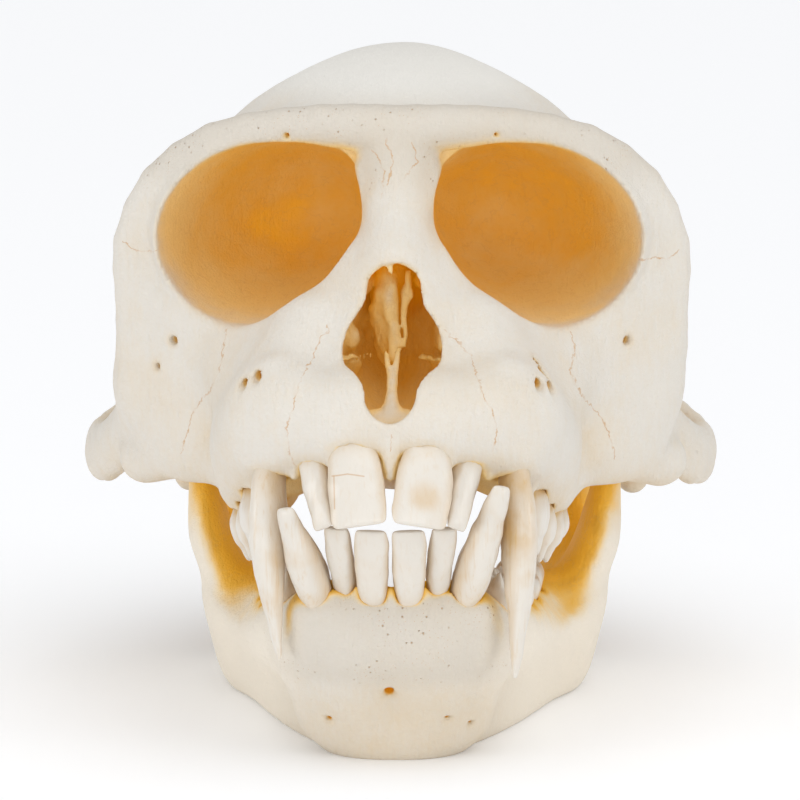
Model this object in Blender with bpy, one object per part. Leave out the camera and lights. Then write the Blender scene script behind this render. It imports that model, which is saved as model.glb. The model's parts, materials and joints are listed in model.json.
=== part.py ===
"""Skull of an adult mona monkey: cranium, mandible and 32 teeth, each tooth in its own socket.

The two bones are smooth unions of rounded limbs and ellipsoids, worked out in space as one
distance in millimetres, meshed where that distance is zero, then cut by the tooth sockets.
Every tooth is a sphere drawn out along its own axis. X is the animal's left and right, the
face looks along -Y, +Z is up, and the origin is on the floor under the middle of the skull.
"""

import math

import bmesh
import bpy
from mathutils import Matrix, Vector

MM = 0.001

# Driving sizes of the whole skull, in millimetres
SKULL_HALF_WIDTH = 37.5
SKULL_FRONT = -55.0
SKULL_BACK = 55.0
CRANIUM_TOP = 74.0
CRANIUM_BOTTOM = 15.0
MANDIBLE_TOP = 35.0
MIDDLE_X = -0.78
MIDDLE_Y = 0.28
VOXEL = 0.6
SOCKET_GAP = 0.3
WIDTH_ROUNDNESS = 0.25
DEPTH_ROUNDNESS = 0.5
TOOTH_SEGMENTS = 8
TOOTH_RINGS = 6
CRANIUM_TRIANGLES = 3420
MANDIBLE_TRIANGLES = 1300
FLOOR_BLOCK_DEPTH = 10.0
SECTION_SQUARENESS = {"point": 2.0, "edge": 2.6, "cusps": 3.0}
WIDTH_POWER = {"point": 2.8, "edge": 0.8, "cusps": 2.2}
DEPTH_POWER = {"point": 1.8, "edge": 1.0, "cusps": 2.2}
ROOT_TAPER = 0.45
CROWN_SWELL = {"point": 0.26, "edge": 0.08, "cusps": 0.10}
CHAIN_BLEND = 0.3
CUSP_HEIGHT = 0.9
CUSP_START = 0.75

# Braincase, brow, cheek arch and jaws
VAULT_CENTRE = (-0.9, 14.5, 45.6)
VAULT_RADII = (26.9, 37.5, 24.9)
KEEL_CENTRE = (-0.9, 14.0, 58.0)
KEEL_RADII = (13.0, 27.0, 13.0)
VAULT_TILT = -7.0
FRONT_TAPER = 0.012
ORBIT_CENTRE = (14.9, -21.5, 53.9)
ORBIT_RADII = (11.7, 22.5, 9.5)
ORBIT_TURN = (0, 18.0, 17.0)
ARCH_SHIFT = (0.8, 0.0, 0.0)
ARCH_POINTS = [
    (28.2, -10.0, 36.0),
    (29.2, -4.0, 30.4),
    (33.0, 3.5, 26.0),
    (34.2, 10.0, 25.5),
    (32.0, 17.5, 26.5),
    (26.0, 25.0, 29.0),
]
BROW_POINTS = [
    (28.7, -12.4, 41.0),
    (28.8, -12.8, 46.0),
    (28.8, -13.0, 51.8),
    (26.0, -15.0, 58.3),
    (20.0, -18.2, 63.1),
    (12.0, -21.3, 65.2),
    (5.0, -22.8, 65.5),
    (0.0, -23.2, 65.0),
]
ORBIT_RIM_POINTS = [
    (3.2, -22.8, 61.0),
    (4.2, -24.6, 54.5),
    (8.0, -25.0, 48.0),
    (14.0, -22.8, 44.0),
    (20.0, -19.4, 43.0),
    (25.2, -15.4, 45.6),
    (28.0, -13.2, 50.5),
]
UPPER_ALVEOLAR = [
    (0.0, -45.0, 37.4),
    (6.0, -44.2, 36.8),
    (11.9, -40.0, 36.4),
    (13.9, -32.5, 31.6),
    (14.9, -24.0, 27.6),
    (15.1, -12.0, 26.9),
    (13.0, -6.0, 28.5),
]
LOWER_ALVEOLAR = [
    (0.0, -43.0, 14.2),
    (5.0, -42.4, 14.4),
    (8.6, -38.8, 13.6),
    (11.0, -32.0, 12.0),
    (12.0, -25.5, 11.2),
    (12.5, -19.0, 10.8),
    (13.2, -12.0, 10.4),
    (14.8, -4.0, 10.0),
]
BORDER_FRONT = -39.8
BORDER_BEND = 0.102
BORDER_THICKNESS = 7.4
BORDER_HALF_WIDTH = 20.5
LIFT_START = 14.0
LIFT_BEND = 0.03
BORDER_FLARE = 0.2
BORDER_TOP = 10.0
BORDER_REAR = 13.5

# One row for each tooth: gum point, tip point, width and depth at the gum, width and depth at
# the tip, the way its outer face looks in degrees from straight ahead, root length, bow, kind
UPPER_TEETH = {
    "incisor_central": ((3.8, -47.0, 35.4), (3.0, -51.8, 27.2), 4.5, 3.4, 5.7, 1.4, 4, 3.4, 0.3, "edge"),
    "incisor_lateral": ((7.8, -45.2, 33.6), (6.8, -49.4, 26.5), 3.1, 3.0, 2.6, 1.1, 30, 3.2, 0.3, "edge"),
    "canine": ((12.7, -42.9, 32.6), (12.3, -46.2, 11.2), 3.0, 4.0, 0.7, 0.8, 40, 4.0, 1.2, "point"),
    "premolar_first": ((13.9, -36.0, 27.6), (14.4, -36.4, 21.4), 5.0, 4.2, 3.0, 2.2, 75, 2.8, 0.0, "cusps"),
    "premolar_second": ((14.5, -30.6, 25.2), (14.6, -30.6, 19.9), 5.2, 4.8, 4.2, 3.6, 85, 2.6, 0.0, "cusps"),
    "molar_first": ((15.0, -24.6, 23.9), (15.0, -24.4, 18.9), 6.1, 5.6, 5.6, 4.4, 90, 2.6, 0.0, "cusps"),
    "molar_second": ((15.4, -17.9, 23.2), (15.3, -17.9, 18.5), 6.3, 5.8, 5.8, 4.6, 90, 2.6, 0.0, "cusps"),
    "molar_third": ((15.3, -11.2, 23.1), (15.2, -11.4, 18.6), 5.9, 5.4, 5.2, 4.2, 92, 2.6, 0.0, "cusps"),
}
LOWER_TEETH = {
    "incisor_central": ((1.95, -44.8, 17.8), (1.9, -49.4, 26.3), 2.7, 3.2, 3.6, 1.4, 4, 3.2, 0.2, "edge"),
    "incisor_lateral": ((4.7, -43.7, 18.4), (5.5, -48.2, 26.4), 2.2, 3.2, 3.0, 1.5, 18, 3.2, 0.2, "edge"),
    "canine": ((7.6, -43.9, 17.6), (11.4, -48.4, 29.4), 3.0, 4.2, 1.9, 1.8, 25, 3.6, 0.3, "point"),
    "premolar_first": ((10.2, -38.2, 15.6), (10.9, -38.6, 20.2), 3.8, 6.0, 1.8, 3.0, 55, 2.8, 0.0, "cusps"),
    "premolar_second": ((11.2, -31.9, 14.8), (11.7, -31.9, 19.2), 4.0, 4.8, 3.0, 3.4, 78, 2.6, 0.0, "cusps"),
    "molar_first": ((12.0, -25.7, 14.3), (12.4, -25.6, 18.0), 5.4, 5.0, 4.6, 3.8, 84, 2.6, 0.0, "cusps"),
    "molar_second": ((12.5, -19.2, 13.9), (12.9, -19.1, 17.7), 5.8, 5.2, 5.0, 4.0, 86, 2.6, 0.0, "cusps"),
    "molar_third": ((13.0, -12.2, 13.8), (13.3, -12.2, 17.6), 6.2, 5.0, 5.2, 3.8, 88, 2.6, 0.0, "cusps"),
}
TIP_SHIFTS = {
    "upper_canine_left": (0.6, 0.0, -0.9),
    "upper_canine_right": (-0.7, 0.0, 0.9),
    "lower_canine_left": (0.3, 0.0, 1.2),
    "lower_canine_right": (-0.3, 0.0, -1.2),
}


class Field:
    """A number or a vector that varies through space, held by an output of a node."""

    def __init__(self, tree, socket):
        self.tree = tree
        self.socket = socket

    def node(self, kind, operation, *inputs):
        made = self.tree.nodes.new(kind)
        made.operation = operation
        for index, value in enumerate(inputs):
            if isinstance(value, Field):
                self.tree.links.new(value.socket, made.inputs[index])
            elif value is not None:
                made.inputs[index].default_value = value
        return made

    def math(self, operation, *others):
        return Field(self.tree, self.node("ShaderNodeMath", operation, self, *others).outputs[0])

    def vector(self, operation, *others):
        return Field(self.tree, self.node("ShaderNodeVectorMath", operation, self, *others).outputs[0])

    def __add__(self, other):
        return self.math("ADD", other)

    def __sub__(self, other):
        return self.math("SUBTRACT", other)

    def __mul__(self, other):
        return self.math("MULTIPLY", other)

    def __truediv__(self, other):
        return self.math("DIVIDE", other)

    def length(self):
        return Field(self.tree, self.node("ShaderNodeVectorMath", "LENGTH", self).outputs["Value"])

    def dot(self, other):
        made = self.node("ShaderNodeVectorMath", "DOT_PRODUCT", self, other)
        return Field(self.tree, made.outputs["Value"])

    def turned(self, degrees):
        made = self.tree.nodes.new("ShaderNodeVectorRotate")
        made.rotation_type = "EULER_XYZ"
        made.invert = True
        made.inputs["Rotation"].default_value = [math.radians(angle) for angle in degrees]
        self.tree.links.new(self.socket, made.inputs["Vector"])
        return Field(self.tree, made.outputs[0])

    def parts(self):
        made = self.tree.nodes.new("ShaderNodeSeparateXYZ")
        self.tree.links.new(self.socket, made.inputs[0])
        return [Field(self.tree, output) for output in made.outputs]

    def joined(self, other, blend):
        return self.math("SMOOTH_MIN", other, blend)

    def cut_by(self, other, blend):
        return self.math("SMOOTH_MAX", other * -1.0, blend)


def combined(x, y, z):
    made = x.tree.nodes.new("ShaderNodeCombineXYZ")
    for index, value in enumerate((x, y, z)):
        x.tree.links.new(value.socket, made.inputs[index])
    return Field(x.tree, made.outputs[0])


def ellipsoid(place, centre, radii, turn=(0, 0, 0)):
    local = place.vector("SUBTRACT", centre).turned(turn)
    near = local.vector("DIVIDE", radii).length()
    steep = local.vector("DIVIDE", [radius * radius for radius in radii]).length()
    return near * (near - 1.0) / steep


def limb(place, start, end, start_radius, end_radius, flat=(1, 1, 1)):
    """A rounded bar from start to end, pressed thinner along an axis whose flat value is under 1."""
    span = Vector([(b - a) / f for a, b, f in zip(start, end, flat)])
    local = place.vector("SUBTRACT", start).vector("DIVIDE", flat)
    along = (local.dot(span) / span.length_squared).math("MAXIMUM", 0.0).math("MINIMUM", 1.0)
    spine = combined(along * span.x, along * span.y, along * span.z)
    radius = along * (end_radius - start_radius) + start_radius
    return (local.vector("SUBTRACT", spine).length() - radius) * min(flat)


def chain(place, points, radii, flat=(1, 1, 1)):
    form = None
    for index in range(len(points) - 1):
        bar = limb(place, points[index], points[index + 1], radii[index], radii[index + 1], flat)
        form = bar if form is None else form.joined(bar, CHAIN_BLEND)
    return form


def mirrored(place):
    x, y, z = place.parts()
    return combined(x.math("ABSOLUTE"), y, z)


def tapered(place):
    """Space pinched towards the midline in front of the widest part of the braincase."""
    x, y, z = place.parts()
    pinch = ((y * -1.0) + VAULT_CENTRE[1]).math("MAXIMUM", 0.0) * FRONT_TAPER + 1.0
    return combined(x * pinch, y, z)


def braincase(place, side):
    form = ellipsoid(tapered(place), VAULT_CENTRE, VAULT_RADII, (VAULT_TILT, 0, 0))
    form = form.joined(ellipsoid(place, KEEL_CENTRE, KEEL_RADII), 5.0)
    form = form.joined(ellipsoid(place, (0, 36.5, 41.0), (22.0, 14.5, 15.0)), 6.0)
    form = form.joined(ellipsoid(place, (0, 24.0, 31.0), (22.0, 21.0, 10.5)), 6.0)
    form = form.joined(ellipsoid(place, (0, -5.0, 56.0), (20.5, 17.0, 11.0)), 5.0)
    form = form.joined(limb(side, (19.0, 26.0, 25.5), (25.0, 22.5, 24.5), 5.0, 3.6), 4.0)
    form = form.joined(limb(side, (24.5, 23.0, 23.5), (26.0, 22.5, 20.0), 2.6, 1.8), 2.5)
    form = form.joined(limb(side, (6.0, 31.0, 23.5), (7.0, 28.5, 21.0), 2.8, 2.2), 2.0)
    return form.joined(limb(place, (0, -8.0, 36.0), (0, 20.0, 29.0), 9.0, 8.0), 5.0)


def face(place, side):
    form = ellipsoid(side, (14.6, -11.5, 53.6), (12.6, 17.5, 11.4), (0, 10.0, 12.0))
    form = form.joined(chain(side, BROW_POINTS, (2.4, 2.6, 2.7, 2.5, 2.3, 2.2, 2.4, 2.8)), 3.0)
    form = form.joined(chain(side, ORBIT_RIM_POINTS, (1.2, 1.2, 1.6, 1.9, 2.0, 2.0, 2.2)), 2.5)
    form = form.joined(limb(place, (0, -22.0, 63.0), (0, -25.4, 57.0), 3.6, 3.2), 2.0)
    form = form.joined(limb(place, (0, -25.4, 57.0), (0, -31.5, 51.6), 3.2, 3.4), 2.0)
    form = form.joined(ellipsoid(side, (22.6, -16.8, 37.6), (10.6, 3.4, 11.6), (0, 0, 38.0)), 3.0)
    return form.joined(limb(side, (20.0, -18.5, 30.6), (28.5, -8.0, 27.2), 3.2, 3.0), 3.0)


def upper_jaw(place, side):
    form = limb(place, (0, -26.0, 45.5), (0, -36.0, 38.5), 9.6, 9.0)
    form = form.joined(limb(side, (9.0, -26.0, 41.0), (10.5, -35.5, 35.0), 8.4, 6.6), 5.0)
    form = form.joined(limb(side, (14.0, -19.0, 38.0), (13.0, -14.0, 33.0), 7.5, 7.0), 4.0)
    form = form.joined(limb(side, (8.6, -33.0, 44.0), (11.6, -39.6, 36.6), 4.4, 5.3), 5.0)
    form = form.joined(limb(side, (15.5, -22.5, 39.5), (14.0, -31.5, 33.0), 5.0, 5.0), 5.0)
    return form.joined(chain(side, UPPER_ALVEOLAR, (4.6, 4.9, 5.4, 5.0, 4.6, 4.3, 3.7)), 5.0)


def openings(place, form, side):
    orbit = ellipsoid(side, ORBIT_CENTRE, ORBIT_RADII, ORBIT_TURN)
    orbit = orbit.joined(ellipsoid(side, (9.8, -20.0, 57.6), (5.6, 13.0, 5.6)), 3.0)
    nose = ellipsoid(place, (0, -36.0, 42.6), (5.6, 13.0, 6.2))
    nose = nose.joined(ellipsoid(place, (0, -39.5, 39.4), (4.2, 11.5, 3.7)), 1.5)
    nose = nose.joined(ellipsoid(place, (0, -30.0, 48.4), (3.4, 10.0, 4.2)), 2.5)
    palate = ellipsoid(place, (0, -22.0, 23.0), (10.0, 21.0, 7.6))
    form = form.cut_by(orbit, 1.0).cut_by(nose, 0.8).cut_by(palate, 2.0)
    return form.cut_by(ellipsoid(place, (0, 34.0, 21.5), (6.4, 7.4, 7.5), (25, 0, 0)), 1.5)


def cranium_form(place):
    side = mirrored(place)
    form = braincase(place, side).joined(face(place, side), 6.0)
    form = form.joined(upper_jaw(place, side), 3.5)
    arch_side = mirrored(place.vector("ADD", ARCH_SHIFT))
    form = form.joined(chain(arch_side, ARCH_POINTS, (4.8, 3.9, 3.4, 3.3, 3.4, 4.0), (0.6, 1, 1)), 2.0)
    form = form.joined(limb(side, (7.5, -5.0, 31.0), (9.0, 3.5, 23.5), 2.4, 1.4, (0.6, 1, 1)), 2.0)
    return openings(place, form, side)


def lower_border(side):
    """The lower edge of the jaw: an upright band that follows a parabola round the chin."""
    x, y, z = side.parts()
    steep = ((x * x) * (4 * BORDER_BEND ** 2) + 1.0).math("SQRT")
    outside = ((x * x) * BORDER_BEND - y + BORDER_FRONT) / steep - z * 0.26
    wall = outside.cut_by(outside + BORDER_THICKNESS, 3.0)
    wall = wall.math("SMOOTH_MAX", z - BORDER_TOP, 4.0)
    outer = (x - LIFT_START).math("MAXIMUM", 0.0)
    wall = wall.math("SMOOTH_MAX", outer * outer * LIFT_BEND - z - 0.7, 4.0)
    wall = wall.math("SMOOTH_MAX", x - z * BORDER_FLARE - BORDER_HALF_WIDTH, 3.0)
    return wall.math("SMOOTH_MAX", y - BORDER_REAR, 8.0)


def mandible_form(place):
    side = mirrored(place)
    form = lower_border(side)
    form = form.joined(chain(side, LOWER_ALVEOLAR, (4.6, 4.4, 4.4, 4.1, 3.9, 3.8, 3.7, 3.4)), 5.0)
    form = form.joined(limb(side, (3.6, -43.2, 13.6), (3.6, -36.4, 4.6), 4.2, 4.2), 5.0)
    form = form.joined(limb(side, (8.2, -41.0, 13.6), (6.6, -35.0, 5.0), 3.9, 3.8), 4.0)
    front = limb(side, (18.8, -1.0, 8.0), (22.3, -1.5, 19.0), 6.4, 4.4, (0.4, 1, 1))
    front = front.joined(limb(side, (22.3, -1.5, 19.0), (24.0, 0.5, 31.0), 4.4, 1.8, (0.4, 1, 1)), 2.0)
    back = limb(side, (17.0, 9.5, 6.9), (19.6, 12.0, 17.0), 7.4, 5.6, (0.36, 1, 1))
    back = back.joined(limb(side, (19.6, 12.0, 17.0), (22.6, 16.0, 22.5), 5.6, 2.6, (0.5, 1, 1)), 2.0)
    form = form.joined(front.joined(back, 3.0), 5.0)
    return form.joined(ellipsoid(side, (23.4, 17.0, 23.6), (4.2, 2.1, 1.8)), 1.5)


def form_mesh(name, form_of, low, high, voxel):
    """The closed surface where form_of is zero, inside the box from low to high."""
    tree = bpy.data.node_groups.new(name, "GeometryNodeTree")
    tree.interface.new_socket("Geometry", in_out="OUTPUT", socket_type="NodeSocketGeometry")
    position = Field(tree, tree.nodes.new("GeometryNodeInputPosition").outputs[0])
    scaled = position.vector("MULTIPLY", (1 / MM, 1 / MM, 1 / MM))
    form = form_of(scaled.vector("ADD", (MIDDLE_X, MIDDLE_Y, 0)))
    cube = tree.nodes.new("GeometryNodeVolumeCube")
    tree.links.new((form * -1.0 + 1.0).socket, cube.inputs["Density"])
    cube.inputs["Min"].default_value = [value * MM for value in low]
    cube.inputs["Max"].default_value = [value * MM for value in high]
    for axis, first, last in zip("XYZ", low, high):
        cube.inputs["Resolution " + axis].default_value = round((last - first) / voxel)
    surface = tree.nodes.new("GeometryNodeVolumeToMesh")
    surface.inputs["Threshold"].default_value = 1.0
    tree.links.new(cube.outputs[0], surface.inputs[0])
    tree.links.new(surface.outputs[0], tree.nodes.new("NodeGroupOutput").inputs[0])
    holder = bpy.data.objects.new(name + "_form", bpy.data.meshes.new(name + "_form"))
    bpy.context.scene.collection.objects.link(holder)
    holder.modifiers.new("form", "NODES").node_group = tree
    evaluated = holder.evaluated_get(bpy.context.evaluated_depsgraph_get())
    mesh = bpy.data.meshes.new_from_object(evaluated)
    bpy.data.objects.remove(holder)
    return mesh


def smooth_ramp(value):
    value = min(1.0, max(0.0, value))
    return value * value * (3 - 2 * value)


def tooth_section(kind, up, row):
    """Half width and half depth of a tooth at up, 0 at the gum, 1 at the tip, under 0 in the root."""
    gum_width, gum_depth, tip_width, tip_depth, root = row[2], row[3], row[4], row[5], row[7]
    crown = (Vector(row[1]) - Vector(row[0])).length
    if up < 0:
        narrow = 1.0 - ROOT_TAPER * (up * crown / root) ** 2
        return gum_width / 2 * narrow, gum_depth / 2 * narrow
    swell = 1.0 + CROWN_SWELL[kind] * math.sin(math.pi * min(1.0, up * 1.3))
    width = (gum_width + (tip_width - gum_width) * up ** WIDTH_POWER[kind]) * swell
    depth = (gum_depth + (tip_depth - gum_depth) * up ** DEPTH_POWER[kind]) * swell
    return width / 2, depth / 2


def shifted(row, shift):
    """The tooth's row with its tip moved."""
    return (row[0], Vector(row[1]) + Vector(shift)) + row[2:]


def tooth_mesh(name, row, mirror, grow=0.0):
    gum = Vector(row[0])
    tip = Vector(row[1])
    facing, root, bow, kind = row[6:]
    axis = (tip - gum).normalized()
    outward = Vector((math.sin(math.radians(facing)), -math.cos(math.radians(facing)), 0))
    outward = (outward - axis * outward.dot(axis)).normalized()
    across = outward.cross(axis)
    crown = (tip - gum).length
    total = crown + root
    squareness = SECTION_SQUARENESS[kind]
    bm = bmesh.new()
    bmesh.ops.create_uvsphere(bm, u_segments=TOOTH_SEGMENTS, v_segments=TOOTH_RINGS, radius=1.0)
    for vertex in bm.verts:
        x, y, z = vertex.co
        height = (z + 1) / 2
        ring = math.hypot(x, y)
        angle = math.atan2(y, x)
        half_width, half_depth = tooth_section(kind, (height * total - root) / crown, row)
        lobe = abs(math.cos(angle)) ** squareness + abs(math.sin(angle)) ** squareness
        lobe = lobe ** (-1 / squareness)
        end = ring ** WIDTH_ROUNDNESS if ring > 1e-4 else 0.0
        end_depth = ring ** DEPTH_ROUNDNESS if ring > 1e-4 else 0.0
        wide = math.cos(angle) * lobe * (half_width + grow) * end
        deep = math.sin(angle) * lobe * (half_depth + grow) * end_depth
        rise = height * (total + 2 * grow) - root - grow
        if kind == "cusps":
            crest = abs(math.sin(2 * angle)) * end - 0.5
            rise += CUSP_HEIGHT * crest * smooth_ramp((height - CUSP_START) * 6)
        bend = bow * math.sin(math.pi * min(1.0, max(0.0, (rise + root) / total)))
        vertex.co = gum + across * wide + outward * (deep + bend) + axis * rise
        if mirror:
            vertex.co.x = -vertex.co.x
        vertex.co -= Vector((MIDDLE_X, MIDDLE_Y, 0))
        vertex.co *= MM
    if mirror:
        bmesh.ops.reverse_faces(bm, faces=bm.faces)
    mesh = bpy.data.meshes.new(name)
    bm.to_mesh(mesh)
    bm.free()
    mesh.shade_smooth()
    return mesh


def material(name, colour, roughness):
    made = bpy.data.materials.new(name)
    made.use_nodes = True
    shader = made.node_tree.nodes["Principled BSDF"]
    shader.inputs["Base Color"].default_value = (*colour, 1.0)
    shader.inputs["Roughness"].default_value = roughness
    shader.inputs["Metallic"].default_value = 0.0
    made.diffuse_color = (*colour, 1.0)
    return made


def add_object(name, mesh, collection, finish=None):
    made = bpy.data.objects.new(name, mesh)
    collection.objects.link(made)
    if finish:
        mesh.materials.append(finish)
    return made


def add_cutter(name, mesh, collection):
    made = add_object(name, mesh, collection)
    made.hide_render = True
    made.display_type = "WIRE"


def floor_block_mesh():
    """A block under the floor, which leaves the mandible the flat faces that it stands on."""
    bm = bmesh.new()
    size = (3 * SKULL_HALF_WIDTH, 2 * (SKULL_BACK - SKULL_FRONT), FLOOR_BLOCK_DEPTH)
    sized = Matrix.Diagonal([value * MM for value in size]).to_4x4()
    lowered = Matrix.Translation((0, 0, -FLOOR_BLOCK_DEPTH / 2 * MM))
    bmesh.ops.create_cube(bm, size=1.0, matrix=lowered @ sized)
    mesh = bpy.data.meshes.new("floor_block")
    bm.to_mesh(mesh)
    bm.free()
    return mesh


def bone(name, mesh, triangles, cutters, collection, finish):
    made = add_object(name, mesh, collection, finish)
    mesh.shade_smooth()
    thinner = made.modifiers.new("thin", "DECIMATE")
    thinner.ratio = triangles / (2 * len(mesh.polygons))
    sockets = made.modifiers.new("sockets", "BOOLEAN")
    sockets.operation = "DIFFERENCE"
    sockets.operand_type = "COLLECTION"
    sockets.collection = cutters
    sockets.solver = "EXACT"
    return made


def main():
    for old in list(bpy.data.objects):
        bpy.data.objects.remove(old)
    skull = bpy.data.collections.new("mona_monkey_skull")
    upper_sockets = bpy.data.collections.new("upper_sockets")
    lower_sockets = bpy.data.collections.new("lower_sockets")
    for group in (skull, upper_sockets, lower_sockets):
        bpy.context.scene.collection.children.link(group)
    bone_finish = material("dry_bone", (0.84, 0.78, 0.68), 0.6)
    tooth_finish = material("tooth_enamel", (0.88, 0.85, 0.80), 0.35)
    jaws = (("upper", UPPER_TEETH, upper_sockets), ("lower", LOWER_TEETH, lower_sockets))
    for jaw, teeth, sockets in jaws:
        for kind in teeth:
            for hand, mirror in (("left", False), ("right", True)):
                name = f"{jaw}_{kind}_{hand}"
                row = shifted(teeth[kind], TIP_SHIFTS.get(name, (0, 0, 0)))
                add_object(name, tooth_mesh(name, row, mirror), skull, tooth_finish)
                cutter_mesh = tooth_mesh(name + "_socket", row, mirror, SOCKET_GAP)
                add_cutter(name + "_socket", cutter_mesh, sockets)
    add_cutter("floor_block", floor_block_mesh(), lower_sockets)
    cranium_low = (-SKULL_HALF_WIDTH, SKULL_FRONT, CRANIUM_BOTTOM)
    cranium_high = (SKULL_HALF_WIDTH, SKULL_BACK, CRANIUM_TOP)
    cranium_mesh = form_mesh("cranium", cranium_form, cranium_low, cranium_high, VOXEL)
    bone("cranium", cranium_mesh, CRANIUM_TRIANGLES, upper_sockets, skull, bone_finish)
    mandible_low = (-SKULL_HALF_WIDTH, SKULL_FRONT, -3.0)
    mandible_high = (SKULL_HALF_WIDTH, SKULL_BACK, MANDIBLE_TOP)
    mandible_mesh = form_mesh("mandible", mandible_form, mandible_low, mandible_high, VOXEL)
    bone("mandible", mandible_mesh, MANDIBLE_TRIANGLES, lower_sockets, skull, bone_finish)


main()
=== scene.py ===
import json
import math

import bmesh
import bpy
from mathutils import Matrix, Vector, noise

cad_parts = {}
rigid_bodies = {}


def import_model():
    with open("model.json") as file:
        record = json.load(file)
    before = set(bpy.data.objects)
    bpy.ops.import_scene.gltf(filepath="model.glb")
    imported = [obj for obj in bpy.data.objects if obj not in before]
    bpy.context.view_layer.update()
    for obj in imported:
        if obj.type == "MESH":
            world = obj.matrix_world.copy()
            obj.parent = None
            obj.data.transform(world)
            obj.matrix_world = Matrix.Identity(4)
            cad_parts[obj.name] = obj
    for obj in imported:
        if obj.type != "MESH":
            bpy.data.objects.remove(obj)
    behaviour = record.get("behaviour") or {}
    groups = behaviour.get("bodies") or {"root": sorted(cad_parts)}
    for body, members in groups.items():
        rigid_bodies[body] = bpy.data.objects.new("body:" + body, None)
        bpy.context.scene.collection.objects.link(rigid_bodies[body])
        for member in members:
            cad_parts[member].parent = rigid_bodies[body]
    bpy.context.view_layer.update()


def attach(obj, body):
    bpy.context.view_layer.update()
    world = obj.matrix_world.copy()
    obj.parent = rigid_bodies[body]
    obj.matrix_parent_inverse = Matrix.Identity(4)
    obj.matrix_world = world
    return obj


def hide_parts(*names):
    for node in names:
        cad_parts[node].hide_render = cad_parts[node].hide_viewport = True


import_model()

MM = 0.001
MIDDLE_X = -0.78
MIDDLE_Y = 0.28

# Rays that tell how shut in a point is: how many, how far, and how high above the surface
RAY_COUNT = 40
RAY_LENGTH = 0.045
RAY_LIFT = 0.0004

# Fineness of the finished bones
BONE_VOXEL = 0.34
CRANIUM_TRIANGLES = 185000
MANDIBLE_TRIANGLES = 120000
CRANIUM_LOW = (-37.5, -55.0, 15.0)
CRANIUM_HIGH = (37.5, 55.0, 74.0)
MANDIBLE_LOW = (-30.0, -52.0, 0.0)
MANDIBLE_HIGH = (30.0, 24.0, 35.0)

# Braincase, brow, cheek arch and jaws, in millimetres, as in the solids
VAULT_CENTRE = (-0.9, 14.5, 45.6)
VAULT_RADII = (26.9, 37.5, 24.9)
KEEL_CENTRE = (-0.9, 14.0, 58.0)
KEEL_RADII = (13.0, 27.0, 13.0)
VAULT_TILT = -7.0
FRONT_TAPER = 0.012
ORBIT_CENTRE = (14.9, -21.5, 53.9)
ORBIT_RADII = (11.7, 22.5, 9.5)
ORBIT_TURN = (0, 18.0, 17.0)
ARCH_SHIFT = (0.8, 0.0, 0.0)
ARCH_POINTS = [
    (28.2, -10.0, 36.0),
    (29.2, -4.0, 30.4),
    (33.0, 3.5, 26.0),
    (34.2, 10.0, 25.5),
    (32.0, 17.5, 26.5),
    (26.0, 25.0, 29.0),
]
BROW_POINTS = [
    (28.7, -12.4, 41.0),
    (28.8, -12.8, 46.0),
    (28.8, -13.0, 51.8),
    (26.0, -15.0, 58.3),
    (20.0, -18.2, 63.1),
    (12.0, -21.3, 65.2),
    (5.0, -22.8, 65.5),
    (0.0, -23.2, 65.0),
]
ORBIT_RIM_POINTS = [
    (3.2, -22.8, 61.0),
    (4.2, -24.6, 54.5),
    (8.0, -25.0, 48.0),
    (14.0, -22.8, 44.0),
    (20.0, -19.4, 43.0),
    (25.2, -15.4, 45.6),
    (28.0, -13.2, 50.5),
]
UPPER_ALVEOLAR = [
    (0.0, -45.0, 37.4),
    (6.0, -44.2, 36.8),
    (11.9, -40.0, 36.4),
    (13.9, -32.5, 31.6),
    (14.9, -24.0, 27.6),
    (15.1, -12.0, 26.9),
    (13.0, -6.0, 28.5),
]
LOWER_ALVEOLAR = [
    (0.0, -43.0, 14.2),
    (5.0, -42.4, 14.4),
    (8.6, -38.8, 13.6),
    (11.0, -32.0, 12.0),
    (12.0, -25.5, 11.2),
    (12.5, -19.0, 10.8),
    (13.2, -12.0, 10.4),
    (14.8, -4.0, 10.0),
]
BORDER_FRONT = -39.8
BORDER_BEND = 0.102
BORDER_THICKNESS = 7.4
BORDER_HALF_WIDTH = 20.5
LIFT_START = 14.0
LIFT_BEND = 0.03
BORDER_FLARE = 0.2
BORDER_TOP = 10.0
BORDER_REAR = 13.5

# Small nerve openings: a point on the surface and a radius
FORAMINA = [
    ((-12.2, -23.8, 64.4), 0.38),
    ((10.7, -24.1, 64.7), 0.34),
    ((-24.8, -19.5, 41.7), 0.62),
    ((-26.7, -18.1, 38.6), 0.42),
    ((24.9, -19.4, 41.9), 0.62),
    ((-11.0, -34.1, 45.0), 0.42),
    ((-12.6, -36.3, 42.8), 0.55),
    ((-13.8, -42.6, 41.3), 0.6),
    ((-15.4, -42.4, 40.4), 0.6),
    ((10.5, -33.8, 45.6), 0.45),
    ((13.5, -36.1, 42.2), 0.62),
    ((14.4, -37.7, 41.7), 0.4),
    ((15.2, -42.6, 40.5), 0.62),
    ((16.5, -41.2, 40.0), 0.62),
]
JAW_FORAMINA = [
    ((-0.3, -43.8, 8.3), 0.62),
    ((-7.1, -42.5, 4.4), 0.5),
    ((6.0, -42.9, 4.8), 0.4),
    ((8.7, -41.2, 3.6), 0.5),
]

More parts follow.
